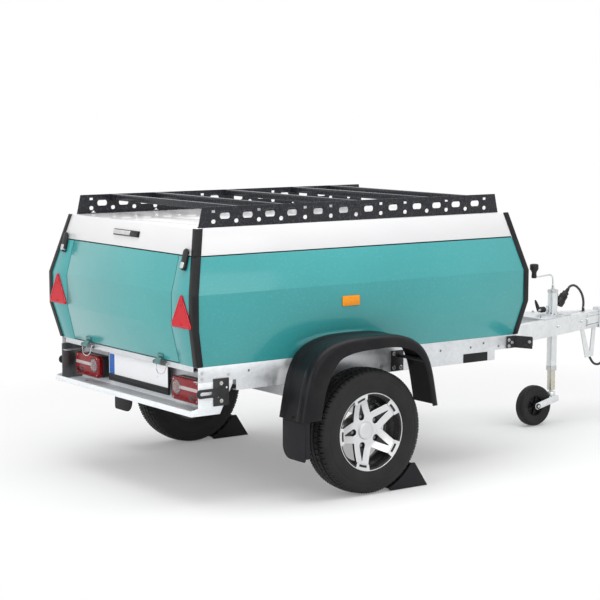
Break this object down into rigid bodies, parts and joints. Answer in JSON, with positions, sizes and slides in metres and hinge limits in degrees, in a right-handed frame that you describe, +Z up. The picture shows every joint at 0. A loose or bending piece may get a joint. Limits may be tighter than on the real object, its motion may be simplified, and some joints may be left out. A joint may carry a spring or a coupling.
{
  "type": "box trailer",
  "caption": "Small closed luggage trailer on a galvanised chassis, with a hinged white lid, a drop-down tailgate, a perforated roof rack, a V drawbar and a jockey wheel.",
  "frame": {"origin": "on the ground, below the middle of the trailer's length, on its centre line", "axes": "+X forwards to the coupling, +Y to the trailer's left, +Z up"},
  "size_m": [3.233, 1.65, 1.286],
  "materials": {
    "galvanised": "spangled galvanised steel",
    "zinc_cast": "zinc-plated pressing",
    "red_lens": "red lens",
    "black_plastic": "moulded",
    "plate_white": "blank plate",
    "black_steel": "powder coated",
    "dark_steel": "zinc plated",
    "plywood": "phenolic film",
    "teal_panel": "satin paint",
    "black_rubber": "plain",
    "white_lid": "gloss",
    "rack_black": "powder coated",
    "tyre_rubber": "tread in the looks",
    "alloy": "machined and lacquered"
  },
  "bodies": {
    "chassis": {"side_rail_left": "galvanised", "side_rail_right": "galvanised", "cross_members": "galvanised", "axle": "galvanised", "drawbar_left": "galvanised", "drawbar_right": "galvanised", "cross_plate": "galvanised", "jockey_tube": "galvanised", "coupling": "zinc_cast", "rear_tray": "galvanised", "rear_lamp_left": "red_lens", "rear_lamp_right": "red_lens", "plate_holder": "black_plastic", "number_plate": "plate_white", "rear_brackets": "black_steel", "front_lamp_left": "black_steel", "front_lamp_right": "black_steel", "load_floor": "plywood", "side_panel_left": "teal_panel", "side_panel_right": "teal_panel", "front_panel": "teal_panel", "rear_corner_left": "teal_panel", "rear_corner_right": "teal_panel", "corner_trims": "black_plastic", "mudguard_left": "black_plastic", "mudguard_right": "black_plastic", "guard_stays": "black_steel", "lid_latches": "black_plastic", "reflectors": "red_lens", "body_hinges": "dark_steel", "cable_strut": "galvanised", "plug_holder": "dark_steel", "plug": "black_plastic", "lighting_cable": "black_rubber"},
    "lid": {"lid": "white_lid", "lid_trims": "black_plastic", "rack_panel_left": "rack_black", "rack_panel_right": "rack_black", "rack_crossbars": "rack_black", "lid_handle": "dark_steel", "lid_hinges": "dark_steel"},
    "tailgate": {"tailgate": "teal_panel", "tailgate_hinges": "dark_steel"},
    "wheel_left": {"tyre_left": "tyre_rubber", "rim_left": "alloy", "hub_left": "dark_steel"},
    "wheel_right": {"tyre_right": "tyre_rubber", "rim_right": "alloy", "hub_right": "dark_steel"},
    "jockey_leg": {"jockey_leg": "galvanised"},
    "jockey_fork": {"jockey_fork": "galvanised"},
    "jockey_wheel": {"jockey_tyre": "black_rubber", "jockey_rim": "black_plastic"},
    "chock_left": {"chock_left": "black_rubber"},
    "chock_right": {"chock_right": "black_rubber"}
  },
  "joints": [
    {"name": "lid_hinge", "type": "hinge", "parent": "chassis", "child": "lid", "pos_m": [0.25199, 0, 1.083], "axis": [0, 1, 0], "range_deg": [0, 65]},
    {"name": "tailgate_hinge", "type": "hinge", "parent": "chassis", "child": "tailgate", "pos_m": [-1.5915, 0, 0.608], "axis": [0, -1, 0], "range_deg": [0, 90]},
    {"name": "wheel_left_spin", "type": "hinge", "parent": "chassis", "child": "wheel_left", "pos_m": [-0.7815, 0.7275, 0.281], "axis": [0, 1, 0], "continuous": true},
    {"name": "wheel_right_spin", "type": "hinge", "parent": "chassis", "child": "wheel_right", "pos_m": [-0.7815, -0.7275, 0.281], "axis": [0, 1, 0], "continuous": true},
    {"name": "jockey_slide", "type": "slide", "parent": "chassis", "child": "jockey_leg", "axis": [0, 0, 1], "range_m": [-0.05, 0.1]},
    {"name": "jockey_swivel", "type": "hinge", "parent": "jockey_leg", "child": "jockey_fork", "pos_m": [1.0545, 0, 0.16], "axis": [0, 0, 1], "continuous": true},
    {"name": "jockey_spin", "type": "hinge", "parent": "jockey_fork", "child": "jockey_wheel", "pos_m": [0.9275, 0, 0.108], "axis": [0, 1, 0], "continuous": true},
    {"name": "chock_left_slide", "type": "slide", "parent": "chassis", "child": "chock_left", "axis": [1, 0, 0], "range_m": [0, 0.4]},
    {"name": "chock_right_slide", "type": "slide", "parent": "chassis", "child": "chock_right", "axis": [1, 0, 0], "range_m": [0, 0.4]}
  ]
}
